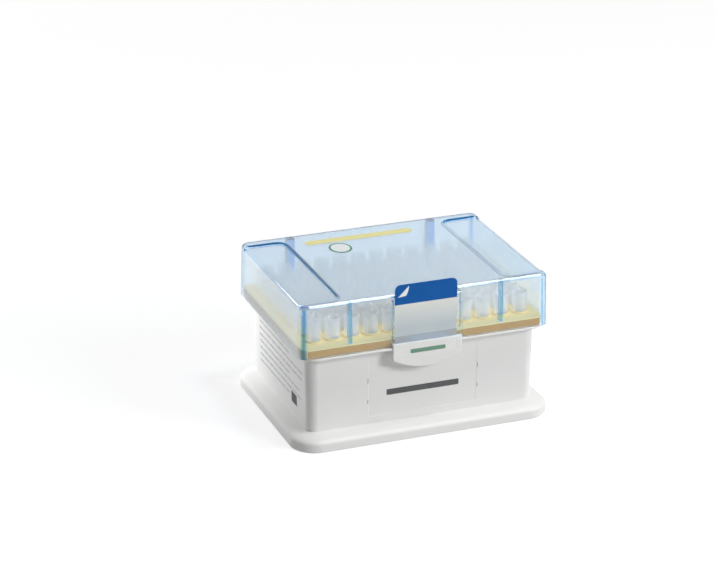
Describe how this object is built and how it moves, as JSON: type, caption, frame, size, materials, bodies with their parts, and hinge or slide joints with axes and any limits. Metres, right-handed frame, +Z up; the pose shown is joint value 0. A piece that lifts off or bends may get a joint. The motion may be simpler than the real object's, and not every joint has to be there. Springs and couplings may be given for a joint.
{
  "type": "box of pipette tips",
  "caption": "Hinged storage box for pipette tips: white footed base, yellow tip tray with upright tips, clear blue lid and a peel-off seal.",
  "frame": {"origin": "middle of the foot's bounding box, on the surface that the box stands on", "axes": "+X along the box's length, +Y towards the hinges, +Z up; the latch tab is on the -Y side"},
  "size_m": [0.1236, 0.0922, 0.0745],
  "materials": {
    "white_plastic": "satin white moulded plastic, slightly translucent",
    "yellow_plastic": "satin yellow moulded plastic",
    "blue_clear_plastic": "clear plastic with a light blue tint, polished",
    "seal_film": "thin film with a printed blue grip end",
    "tip_plastic": "natural translucent plastic"
  },
  "bodies": {
    "base": {"base_shell": "white_plastic", "tip_tray": "yellow_plastic"},
    "lid": {"lid": "blue_clear_plastic", "seal": "seal_film"}
  },
  "joints": [
    {"name": "lid_hinge", "type": "hinge", "parent": "base", "child": "lid", "pos_m": [0, 0.0439, 0.042], "axis": [-1, 0, 0], "range_deg": [0, 110]}
  ]
}
